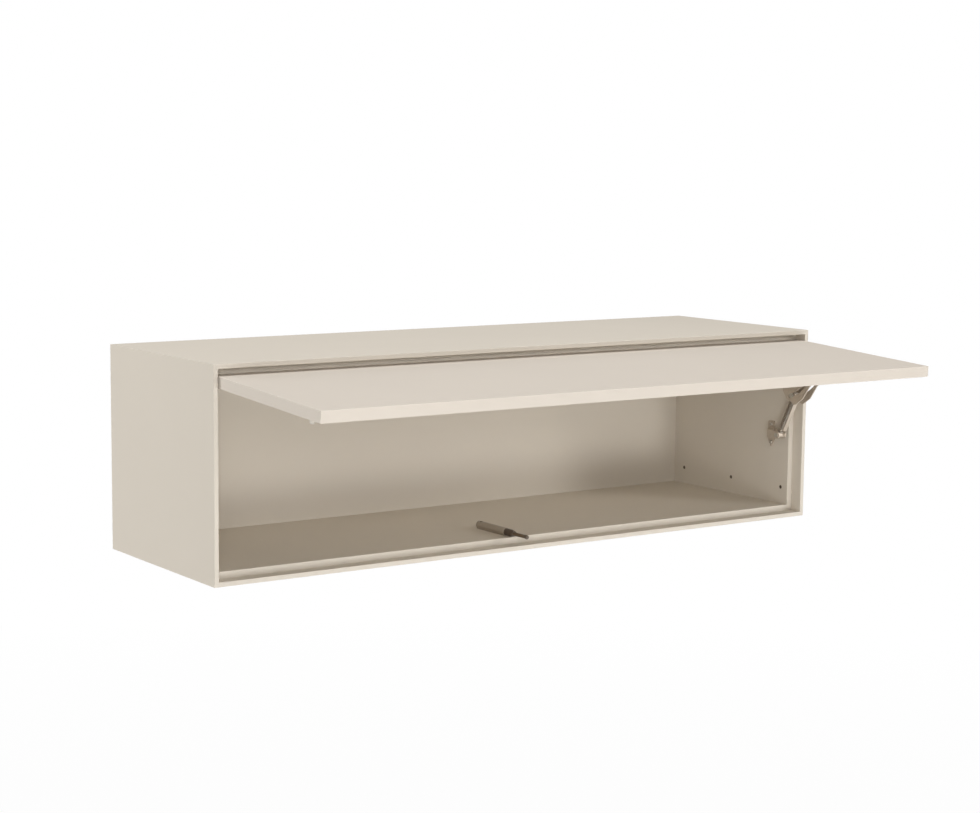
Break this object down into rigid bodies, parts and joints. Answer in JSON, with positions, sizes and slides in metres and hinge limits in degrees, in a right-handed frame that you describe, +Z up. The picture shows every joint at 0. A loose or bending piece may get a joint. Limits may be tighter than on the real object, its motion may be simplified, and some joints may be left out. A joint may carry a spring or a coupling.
{
  "type": "lift up wall cabinet",
  "caption": "Wide low wall cabinet with one full-width flap that lifts on cup hinges and a sprung stay, with a push latch on its floor.",
  "frame": {"origin": "on the wall plane, under the middle of the bottom panel", "axes": "+X to the right seen from the front, +Y towards the wall, +Z up"},
  "size_m": [1.2, 0.6592, 0.338],
  "materials": {
    "casing_lacquer": "matte taupe lacquer on board",
    "flap_lacquer": "matte taupe lacquer on board",
    "plated_steel": "nickel-plated steel",
    "screw_steel": "plated steel",
    "dark_screws": "dark oxide",
    "stay_steel": "grey plated steel",
    "spring_steel": "drawn spring steel",
    "pin_steel": "turned steel",
    "latch_bronze": "bronze-brown moulding",
    "latch_dark": "dark brown moulding",
    "rod_bronze": "bronzed steel",
    "soft_tip": "soft translucent stop",
    "hanger_plastic": "moulded plastic"
  },
  "bodies": {
    "casing": {"back_panel": "casing_lacquer", "bottom_panel": "casing_lacquer", "hanger_box_left": "hanger_plastic", "hanger_box_right": "hanger_plastic", "hanger_hook_left": "plated_steel", "hanger_hook_right": "plated_steel", "hinge_arm_centre": "plated_steel", "hinge_arm_left": "plated_steel", "hinge_arm_right": "plated_steel", "hinge_arm_screws": "screw_steel", "latch_collar": "latch_dark", "latch_housing": "latch_bronze", "latch_screw": "dark_screws", "left_panel": "casing_lacquer", "right_panel": "casing_lacquer", "side_screws": "dark_screws", "stay_base": "stay_steel", "stay_base_screws": "screw_steel", "stay_pivot_pin": "pin_steel", "top_panel": "casing_lacquer"},
    "flap": {"flap_bumpers": "soft_tip", "flap_panel": "flap_lacquer", "hinge_cup_centre": "plated_steel", "hinge_cup_left": "plated_steel", "hinge_cup_right": "plated_steel", "hinge_cup_screws": "screw_steel", "hinge_pins": "pin_steel", "latch_strike": "plated_steel", "stay_fan": "stay_steel", "stay_fan_screws": "screw_steel"},
    "stay_arm": {"stay_arm": "stay_steel", "stay_spring": "spring_steel", "stay_roller": "pin_steel"},
    "latch_plunger": {"latch_rod": "rod_bronze", "latch_tip": "soft_tip"}
  },
  "joints": [
    {"name": "flap_hinge", "type": "hinge", "parent": "casing", "child": "flap", "pos_m": [0, -0.3545, 0.314], "axis": [1, 0, 0], "range_deg": [-3.5, 86.5]},
    {"name": "stay_pivot", "type": "hinge", "parent": "casing", "child": "stay_arm", "pos_m": [0.565, -0.3305, 0.147], "axis": [1, 0, 0], "range_deg": [-26.6, 1.2]},
    {"name": "latch_slide", "type": "slide", "parent": "casing", "child": "latch_plunger", "axis": [0, 1, 0], "range_m": [-0.0016, 0.0379]}
  ],
  "couplings": [
    {"joint": "stay_pivot", "follows": "flap_hinge", "ratio": -0.30636},
    {"joint": "latch_slide", "follows": "flap_hinge", "m_per_rad": 0.025038}
  ]
}
